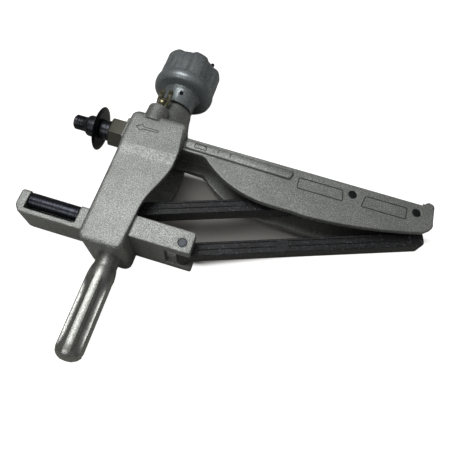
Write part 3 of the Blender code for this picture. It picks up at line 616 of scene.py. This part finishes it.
@dataclass
class FeedKnob:
    """The feed knob: a six-lobed grip on a round skirt and a hub, with the pin's hole through the hub."""

    middle_mm: Place = (0.0, 0.0, 35.0)
    radius_mm: float = 35.0
    hub_mm: float = 18.2
    scallop_mm: float = 3.8
    pitch_deg: int = 60
    phase_deg: int = 39
    pin_mm: Flat = (3.4, 174.3)
    pin_hole_mm: float = 2.6
    lobes_from_mm: float = 24.0

    def build(self) -> None:
        """Models the knob and its pin."""
        wide, hub = self.radius_mm, self.hub_mm
        profile = [
            # The hub
            (162.0, hub - 0.8), (162.8, hub), (178.5, hub + 0.5), (181.3, hub + 2.0), (182.5, hub + 3.4),
            # The round skirt
            (182.5, wide - 6.0), (183.4, wide - 3.2), (185.5, wide - 1.0), (189.0, wide), (192.5, wide),
            # The lobed grip
            (195.2, wide - 0.6), (197.4, wide - 0.2), (208.0, wide), (220.6, wide), (224.0, wide - 1.1),
            # The rim and the sunk top
            (225.8, wide - 3.0), (226.6, wide - 6.2), (226.6, 20.0), (222.6, 18.0), (222.6, 8.0),
        ]
        turning = Turning("knob_cast", Body.KNOB, KNOB_ENAMEL, self.middle_mm, Axis.Y, profile, sides=120)
        piece = turning.draw()
        for along in (197.4, 208.0, 220.6, 224.0, 225.8, 226.6):
            for turn in range(0, 20, 3):
                rise = max(0.0, (turn - 9) / 11)
                depth = self.scallop_mm * (1 - rise * rise * (3 - 2 * rise))
                factor = 1 - depth / wide
                turning.pinch(piece, along, self.pitch_deg, self.phase_deg, turn, factor, self.lobes_from_mm)
        piece = settle(piece, "knob_cast", Body.KNOB, KNOB_ENAMEL, smooth_deg=40.0)
        self.drill(piece)
        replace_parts(piece, "knob")
        pin_x, pin_y = self.pin_mm
        rod = [(19.0, 2.0), (19.4, 2.4), (50.4, 2.4), (50.8, 2.0)]
        foot = (pin_x, pin_y, 0.0)
        pin = Turning("hub_pin_end", Body.KNOB, BLACK_OXIDE, foot, Axis.Z, rod, sides=32).build()
        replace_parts(pin, "hub_pin")

    def drill(self, piece: Piece) -> None:
        """Sinks the hub pin's hole.

        Args:
            piece: the knob.
        """
        deselect()
        place = Vector((*self.pin_mm, self.middle_mm[2])) * MM
        hole_mm = self.pin_hole_mm
        bpy.ops.mesh.primitive_cylinder_add(vertices=32, radius=hole_mm * MM, depth=60 * MM, location=place)
        cutter = bpy.context.object
        deselect()
        piece.select_set(True)
        bpy.context.view_layer.objects.active = piece
        hole = piece.modifiers.new("pin_hole", "BOOLEAN")
        hole.object = cutter
        bpy.ops.object.modifier_apply(modifier=hole.name)
        bpy.data.objects.remove(cutter, do_unlink=True)


@dataclass
class Handle:
    """The handle: a neck, a long grip with five wide flutes that run out near each end, and a domed tip."""

    middle_mm: Place = (-4.6, 0.0, 35.0)
    radius_mm: float = 13.7
    neck_mm: float = 11.6
    end_mm: float = -131.0
    flutes: int = 5
    phase_deg: int = 51
    flute_mm: float = 7.0
    depth_mm: float = 2.9

    def flute(self, turn: int) -> float:
        """The grip's radius at an angle from a flute's middle, as a share of its full radius."""
        out = self.radius_mm + self.flute_mm - self.depth_mm
        side = out * math.sin(math.radians(turn))
        if abs(side) >= self.flute_mm:
            return 1.0
        inner = out * math.cos(math.radians(turn)) - math.sqrt(self.flute_mm**2 - side**2)
        return min(1.0, inner / self.radius_mm)

    def build(self) -> None:
        """Models the handle."""
        end, wide, neck = self.end_mm, self.radius_mm, self.neck_mm
        # How deep the flutes are at each station, as a share of their full depth
        shares = [
            (end + 10.0, 0.35), (end + 16.0, 0.9), (end + 24.0, 1.0),
            (-72.0, 1.0), (-62.0, 0.9), (-54.0, 0.3),
        ]
        profile = [
            (end, 0.8), (end + 0.6, 5.5), (end + 3.0, 10.0), (end + 6.0, wide - 1.2),
            *((along, wide) for along, share in shares),
            (-49.0, wide), (-44.0, wide - 0.5), (-39.6, neck + 0.8),
            (-37.0, neck), (-14.0, neck), (-13.6, neck - 0.6),
        ]
        name, finish = "handle_grip", GRIP_ALUMINIUM
        turning = Turning(name, Body.FRAME, finish, self.middle_mm, Axis.Y, profile, sides=120)
        piece = turning.draw()
        for along, share in shares:
            for turn in range(0, 22, 3):
                factor = 1 - share * (1 - self.flute(turn))
                turning.pinch(piece, along, 360 // self.flutes, self.phase_deg, turn, factor, 1.0)
        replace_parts(settle(piece, name, Body.FRAME, finish, smooth_deg=32.0), "handle")


@dataclass
class CutterSpindle:
    """The spindle's turned pieces: grooved axle stub, collar, sleeve and the hexagonal housing."""

    middle_mm: Place = (0.0, 111.7, 35.0)
    axle_mm: float = 8.4
    grooves_mm: tuple[float, ...] = (-96.4, -93.8, -91.2)

    def build(self) -> None:
        """Models the pieces."""
        axle = self.axle_mm
        profile = [(-101.0, axle - 1.6), (-99.6, axle - 0.2)]
        skin, floor, groove = axle - 0.2, axle - 1.3, 1.2
        for start in self.grooves_mm:
            profile += [(start, skin), (start, floor), (start + groove, floor), (start + groove, skin)]
        profile += [(-89.4, axle), (-58.0, axle), (-58.0, 5.6), (-40.0, 5.6)]
        self.turn("axle_stub", profile, "cutter_axle", BLACK_OXIDE)
        collar = [(-86.0, 9.6), (-85.2, 10.8), (-83.6, 11.6), (-82.0, 11.8), (-73.3, 11.8), (-72.5, 11.2)]
        self.turn("collar_turned", collar, "axle_collar", BLACK_OXIDE)
        sleeve = [(-69.3, 10.6), (-68.7, 11.2), (-58.6, 11.2), (-58.0, 10.6)]
        self.turn("sleeve_turned", sleeve, "wheel_sleeve", BLACK_OXIDE)
        corner = 15.0 / math.cos(math.radians(30))
        hexagon = [(-57.7, corner - 2.2), (-56.2, corner - 0.3), (-55.4, corner), (-38.8, corner)]
        self.turn("housing_hex", hexagon, "spindle_housing", HOUSING_STEEL, sides=6)

    def turn(self, name: str, profile: list[Flat], node: str, finish: Finish, sides: int = 64) -> None:
        """Turns one piece round the spindle's axis.

        Args:
            name: the piece's name.
            profile: its stations and radii.
            node: the CAD node that it stands for.
            finish: its finish.
            sides: facets round it.
        """
        piece = Turning(name, Body.ARM, finish, self.middle_mm, Axis.X, profile, sides=sides).build()
        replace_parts(piece, node)


@dataclass
class Rollers:
    """The two rollers in the cradle, with chamfered ends and a fine groove near each end."""

    left_mm: float = -97.2
    right_mm: float = -44.8
    radius_mm: float = 8.0
    across_mm: float = 2.6
    heights_mm: dict[str, tuple[Body, float]] = field(
        default_factory=lambda: {
            "roller_lower": (Body.LOWER_ROLLER, 23.0),
            "roller_upper": (Body.UPPER_ROLLER, 47.0),
        }
    )

    def build(self) -> None:
        """Models both rollers."""
        wide = self.radius_mm
        # Distance in from an end, and radius: a chamfer, a land and the groove beside it
        end = [(0.0, wide - 1.2), (0.9, wide), (2.6, wide), (2.8, wide - 0.3), (3.2, wide - 0.3), (3.4, wide)]
        profile = [(self.left_mm + inward, radius) for inward, radius in end]
        profile += [(self.right_mm - inward, radius) for inward, radius in reversed(end)]
        for name, (body, height) in self.heights_mm.items():
            middle = (0.0, self.across_mm, height)
            piece = Turning(f"{name}_turned", body, ROLLER_STEEL, middle, Axis.X, profile, sides=64).build()
            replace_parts(piece, name)


@dataclass
class DrawnCasting:
    """A casting taken over from its CAD solid, with some of its walls moved a few millimetres."""

    node: str
    name: str
    body: Body
    moves: list[tuple[Place, Place, Place]]
    rounds: list[tuple[Place, Place, float]] = field(default_factory=list)
    smooth_deg: float = 11.0

    def soften(self, piece: Piece, low: Place, high: Place, radius_mm: float) -> None:
        """Rounds the sharp edges that lie inside a box.

        Args:
            piece: the casting, in edit mode.
            low: the box's lowest corner, in millimetres.
            high: its highest corner.
            radius_mm: the width of the rounding.
        """
        bpy.ops.mesh.select_all(action="SELECT")
        bpy.ops.mesh.dissolve_limited(angle_limit=math.radians(0.5))
        bpy.ops.mesh.select_all(action="DESELECT")
        bpy.ops.mesh.select_mode(type="EDGE")
        mesh = bmesh.from_edit_mesh(piece.data)
        for edge in mesh.edges:
            inside = all(low[k] <= end.co[k] / MM <= high[k] for end in edge.verts for k in range(3))
            edge.select = inside and len(edge.link_faces) == 2 and edge.calc_face_angle() > math.radians(40)
        bmesh.update_edit_mesh(piece.data)
        bpy.ops.mesh.bevel(offset=radius_mm * MM, segments=4, affect="EDGES", clamp_overlap=True)
        bpy.ops.mesh.select_mode(type="VERT")

    def build(self) -> Piece:
        """Copies the solid, merges it, moves the points inside each box and rounds the edges asked for.

        Returns:
            The piece.
        """
        deselect()
        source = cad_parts[self.node]
        piece = bpy.data.objects.new(self.name, source.data.copy())
        bpy.context.scene.collection.objects.link(piece)
        piece.select_set(True)
        bpy.context.view_layer.objects.active = piece
        bpy.ops.object.mode_set(mode="EDIT")
        bpy.ops.mesh.select_mode(type="VERT")
        bpy.ops.mesh.select_all(action="SELECT")
        bpy.ops.mesh.remove_doubles(threshold=0.001 * MM)
        for low, high, shift in self.moves:
            mesh = bmesh.from_edit_mesh(piece.data)
            for vertex in mesh.verts:
                place = vertex.co / MM
                vertex.select = all(low[k] <= place[k] <= high[k] for k in range(3))
            mesh.select_flush_mode()
            bmesh.update_edit_mesh(piece.data)
            bpy.ops.transform.translate(value=tuple(v * MM for v in shift))
        for low, high, radius_mm in self.rounds:
            self.soften(piece, low, high, radius_mm)
        piece = settle(piece, self.name, self.body, ALUMINIUM, smooth_deg=self.smooth_deg)
        even = piece.modifiers.new("even_faces", "WEIGHTED_NORMAL")
        even.keep_sharp = True
        bpy.ops.object.modifier_apply(modifier=even.name)
        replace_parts(piece, self.node)
        return piece


@dataclass
class ScaleRail:
    """The raised rail along the arm's top cheek, which carries the scale."""

    outline: list[Flat] = field(
        default_factory=lambda: [(31.0, 102.9), (146.0, 100.8), (148.5, 110.4), (31.0, 112.0)]
    )
    low_mm: float = 58.6
    high_mm: float = 62.6

    def build(self) -> Piece:
        """Models the rail as a bar with rounded ends and edges.

        Returns:
            The piece.
        """
        deselect()
        bpy.ops.mesh.primitive_circle_add(vertices=len(self.outline), radius=10 * MM, fill_type="NGON")
        piece = bpy.context.object
        for vertex, (x, y) in zip(piece.data.vertices, self.outline):
            vertex.co = Vector((x, y, self.low_mm)) * MM
        bpy.ops.object.mode_set(mode="EDIT")
        bpy.ops.mesh.select_mode(type="VERT")
        bpy.ops.mesh.select_all(action="SELECT")
        bpy.ops.mesh.bevel(offset=2.4 * MM, segments=5, affect="VERTICES")
        bpy.ops.mesh.select_all(action="SELECT")
        rise = (0, 0, (self.high_mm - self.low_mm) * MM)
        bpy.ops.mesh.extrude_region_move(TRANSFORM_OT_translate={"value": rise})
        bpy.ops.object.mode_set(mode="OBJECT")
        bevel = piece.modifiers.new("soft", "BEVEL")
        bevel.width = 0.9 * MM
        bevel.segments = 3
        bevel.limit_method = "ANGLE"
        return settle(piece, "scale_rail", Body.ARM, ALUMINIUM)


@dataclass
class Relief:
    """A raised outline on a casting's flat face, such as a plate's frame or an arrow."""

    name: str
    body: Body
    corners: list[Flat]
    face_mm: float
    line_mm: float = 1.1
    height_mm: float = 0.45
    corner_mm: float = 2.0
    sunk_mm: float = 0.4

    def build(self) -> Piece:
        """Models the outline as a low ridge with sloping sides.

        Returns:
            The piece.
        """
        deselect()
        bpy.ops.mesh.primitive_circle_add(vertices=len(self.corners), radius=10 * MM, fill_type="NGON")
        piece = bpy.context.object
        for vertex, (x, y) in zip(piece.data.vertices, self.corners):
            vertex.co = Vector((x, y, self.face_mm - self.sunk_mm)) * MM
        bpy.ops.object.mode_set(mode="EDIT")
        bpy.ops.mesh.select_all(action="SELECT")
        if self.corner_mm > 0:
            bpy.ops.mesh.bevel(offset=self.corner_mm * MM, segments=4, affect="VERTICES")
        bpy.ops.mesh.select_all(action="SELECT")
        bpy.ops.mesh.inset(thickness=self.line_mm * MM)
        bpy.ops.mesh.delete(type="FACE")
        bpy.ops.mesh.select_all(action="SELECT")
        lift = (0, 0, (self.sunk_mm + self.height_mm) * MM)
        bpy.ops.mesh.extrude_region_move(TRANSFORM_OT_translate={"value": lift})
        bpy.ops.object.mode_set(mode="OBJECT")
        bevel = piece.modifiers.new("soft", "BEVEL")
        bevel.width = self.height_mm * 0.5 * MM
        bevel.segments = 2
        bevel.limit_method = "ANGLE"
        # The ridge is coloured dark as painted shade along the cast outline
        return settle(piece, self.name, self.body, RELIEF_SHADE_AND_MARK_DARK)


@dataclass
class ArmMarkings:
    """The scale on the arm's rail and the two bare plate frames beside its pins."""

    cheek_mm: float = 59.2
    rail_mm: float = 62.6
    ticks: list[Flat] = field(default_factory=lambda: [(66.8, 108.0), (79.7, 107.4)])
    tick_mm: Place = (1.0, 5.0, 0.30)
    rear: list[Flat] = field(
        default_factory=lambda: [(154.6, 94.0), (204.0, 94.0), (202.0, 107.6), (154.6, 107.6)]
    )
    front: list[Flat] = field(
        default_factory=lambda: [(222.2, 94.0), (269.6, 94.0), (269.6, 108.0), (225.4, 108.0)]
    )
    box: list[Flat] = field(
        default_factory=lambda: [(40.7, 104.8), (54.1, 104.4), (54.1, 109.9), (40.7, 110.3)]
    )

    def build(self) -> None:
        """Models the frames and the marks."""
        Relief("plate_frame_rear", Body.ARM, self.rear, self.cheek_mm).build()
        Relief("plate_frame_front", Body.ARM, self.front, self.cheek_mm).build()
        small = {"line_mm": 0.9, "height_mm": 0.3, "corner_mm": 0.8}
        Relief("scale_box", Body.ARM, self.box, self.rail_mm, **small).build()
        for number, (x, y) in enumerate(self.ticks):
            self.tick(f"scale_mark_{number + 1}", x, y)

    def tick(self, name: str, x: float, y: float) -> Piece:
        """One dark stroke of the scale.

        Args:
            name: the piece's name.
            x: its place along the rail, in millimetres.
            y: its middle across the rail, in millimetres.

        Returns:
            The piece.
        """
        deselect()
        bpy.ops.mesh.primitive_cube_add(size=1.0, location=(x * MM, y * MM, self.rail_mm * MM))
        piece = bpy.context.object
        piece.dimensions = Vector(self.tick_mm) * MM
        bpy.ops.object.transform_apply(location=True, rotation=True, scale=True)
        bevel = piece.modifiers.new("soft", "BEVEL")
        bevel.width = 0.08 * MM
        bevel.segments = 2
        return settle(piece, name, Body.ARM, RELIEF_SHADE_AND_MARK_DARK)


@dataclass
class HeadArrow:
    """The arrow cast on the head that shows which way the wheel faces."""

    face_mm: float = 71.0
    outline: list[Flat] = field(
        default_factory=lambda: [
            (-22.9, 105.5), (-15.8, 101.2), (-14.6, 103.6), (2.0, 104.0),
            (2.0, 107.2), (-14.2, 107.2), (-16.0, 109.8),
        ]
    )

    def build(self) -> Piece:
        """Models the arrow's raised outline."""
        sharp = {"line_mm": 0.7, "height_mm": 0.4, "corner_mm": 0.0}
        return Relief("head_arrow", Body.FRAME, self.outline, self.face_mm, **sharp).build()


@dataclass
class Studio:
    """Floor, light and camera, at the photograph's own viewpoint."""

    camera_mm: Place = (123.397, -140.089, 465.318)
    turn_deg: Place = (22.96135, -3.31783, 16.59365)
    focal_px: float = 449.717
    frame_px: float = 450.0
    # The sides of the painted shade patch on the floor in the gap between the arm and the front link, each
    # with the width of its soft edge
    shade_patch_edges_mm: tuple[tuple[Flat, Flat, float], ...] = (
        ((60.0, -6.0), (290.0, 96.0), 8.0),
        ((290.0, 108.0), (40.0, 108.0), 16.0),
        ((14.0, 110.0), (14.0, 0.0), 12.0),
        ((0.0, 2.0), (100.0, 2.0), 8.0),
    )

    def build(self) -> None:
        """Sets up the scene round the tool."""
        self.make_camera()
        self.make_floor()
        self.make_world()
        self.make_lamp("key_softbox", (-0.24, 0.17, 0.95), (0.04, 0.04, 0.03), 0.55, 5.6)
        self.make_lamp("front_softbox", (-0.35, -0.75, 0.70), (0.05, 0.00, 0.03), 0.50, 2.3)

    def make_camera(self) -> None:
        """Places the camera."""
        data = bpy.data.cameras.new("view")
        data.sensor_width = 36.0
        data.lens = self.focal_px / self.frame_px * data.sensor_width
        data.clip_start = 0.01
        data.clip_end = 50.0
        camera = bpy.data.objects.new("view", data)
        bpy.context.scene.collection.objects.link(camera)
        camera.location = Vector(self.camera_mm) * MM
        camera.rotation_euler = Euler([math.radians(a) for a in self.turn_deg], "XYZ")
        bpy.context.scene.camera = camera

    def make_floor(self) -> None:
        """A pale floor that the camera sees as white, with the tool's shadow and a painted shade patch in the
        gap between the arm and the front link.
        """
        deselect()
        bpy.ops.mesh.primitive_plane_add(size=8.0, location=(0.1, 0.05, -0.0004))
        floor = bpy.context.object
        floor.name = "floor"
        material = bpy.data.materials.new("white_paper_with_painted_gap_shade")
        material.use_nodes = True
        tree = material.node_tree
        tree.nodes.clear()
        paper = add_node(tree, "ShaderNodeBsdfDiffuse", {"Color": srgb("a8a6a2"), "Roughness": 1.0})
        glow = add_node(tree, "ShaderNodeEmission", {"Color": (1.0, 1.0, 1.0, 1.0), "Strength": 0.97})
        path = add_node(tree, "ShaderNodeLightPath")
        # Inside the gap the white glow is masked off, which paints shade on the floor there
        factors = {0: path.outputs["Is Camera Ray"], 1: self.outside(tree)}
        seen = add_node(tree, "ShaderNodeMath", {"operation": "MULTIPLY"}, factors)
        none = add_node(tree, "ShaderNodeEmission", {"Strength": 0.0})
        choice = {0: seen.outputs[0], 1: none.outputs[0], 2: glow.outputs[0]}
        lit = add_node(tree, "ShaderNodeMixShader", links=choice)
        both = add_node(tree, "ShaderNodeAddShader", links={0: paper.outputs[0], 1: lit.outputs[0]})
        add_node(tree, "ShaderNodeOutputMaterial", links={"Surface": both.outputs[0]})
        floor.data.materials.append(material)

    def outside(self, tree: Tree) -> Socket:
        """Marks the floor outside the painted shade patch in the gap between the arm and the front link;
        inside it the camera's white is left off, so the floor there shows darker.

        Args:
            tree: the floor's node tree.

        Returns:
            1 outside the painted shade patch, 0 inside it.
        """
        where = add_node(tree, "ShaderNodeNewGeometry").outputs["Position"]
        inside = None
        for (px, py), (qx, qy), width in self.shade_patch_edges_mm:
            along = Vector((qx - px, qy - py, 0)).normalized()
            across = Vector((-along.y, along.x, 0))
            offset = across.dot(Vector((px, py, 0))) * MM
            dot = add_node(tree, "ShaderNodeVectorMath", {"operation": "DOT_PRODUCT", 1: across}, {0: where})
            half = width * MM / 2
            soft = {"interpolation_type": "SMOOTHSTEP", "From Min": offset - half, "From Max": offset + half}
            step = add_node(tree, "ShaderNodeMapRange", soft, {"Value": dot.outputs["Value"]})
            side = step.outputs["Result"]
            if inside is None:
                inside = side
            else:
                both = {0: inside, 1: side}
                inside = add_node(tree, "ShaderNodeMath", {"operation": "MULTIPLY"}, both).outputs[0]
        return add_node(tree, "ShaderNodeMath", {"operation": "SUBTRACT", 0: 1.0}, {1: inside}).outputs[0]

    def make_world(self) -> None:
        """A soft room: brighter overhead than at the sides, white to the camera."""
        world = bpy.data.worlds.new("soft_room")
        bpy.context.scene.world = world
        world.use_nodes = True
        tree = world.node_tree
        tree.nodes.clear()
        where = add_node(tree, "ShaderNodeTexCoord")
        split = add_node(tree, "ShaderNodeSeparateXYZ", links={0: where.outputs["Generated"]})
        sky = [(0.0, grey(0.04)), (0.40, grey(0.10)), (0.75, grey(0.30)), (1.0, grey(0.40))]
        shade = ramp(tree, split.outputs["Z"], sky)
        room = add_node(tree, "ShaderNodeBackground", {"Strength": 1.0}, {"Color": shade})
        white = add_node(tree, "ShaderNodeBackground", {"Color": (1.0, 1.0, 1.0, 1.0), "Strength": 1.0})
        path = add_node(tree, "ShaderNodeLightPath")
        choice = {0: path.outputs["Is Camera Ray"], 1: room.outputs[0], 2: white.outputs[0]}
        both = add_node(tree, "ShaderNodeMixShader", links=choice)
        add_node(tree, "ShaderNodeOutputWorld", links={"Surface": both.outputs[0]})
        bpy.context.scene.view_settings.view_transform = "Standard"

    def make_lamp(self, name: str, place: Place, aim: Place, size: float, power: float) -> None:
        """Adds a square soft lamp.

        Args:
            name: its name.
            place: where it is, in metres.
            aim: where it points.
            size: its side, in metres.
            power: its power in watts.
        """
        data = bpy.data.lights.new(name, "AREA")
        data.size = size
        data.energy = power
        lamp = bpy.data.objects.new(name, data)
        bpy.context.scene.collection.objects.link(lamp)
        lamp.location = place
        lamp.rotation_euler = (Vector(aim) - Vector(place)).to_track_quat("-Z", "Y").to_euler()


def dress_nodes() -> None:
    """Gives every CAD solid its finish."""
    for name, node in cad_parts.items():
        finish = NODE_FINISHES[name]
        node.data.materials.clear()
        node.data.materials.append(finish.material())
        log.info("%s finished as %s", name, finish.name)


def main() -> None:
    """Builds the whole scene."""
    logging.basicConfig(level=logging.INFO, format="%(message)s")
    dress_nodes()
    DrawnCasting("body_casting", "body_drawn", Body.FRAME, BODY_MOVES).build()
    DrawnCasting("bracket", "bracket_drawn", Body.FRAME, BRACKET_MOVES).build()
    DrawnCasting("cutter_arm", "arm_drawn", Body.ARM, ARM_MOVES, ARM_ROUNDS).build()
    FeedKnob().build()
    Handle().build()
    CutterSpindle().build()
    Rollers().build()
    ScaleRail().build()
    HeadArrow().build()
    ArmMarkings().build()
    Studio().build()


if __name__ == "__main__":
    main()
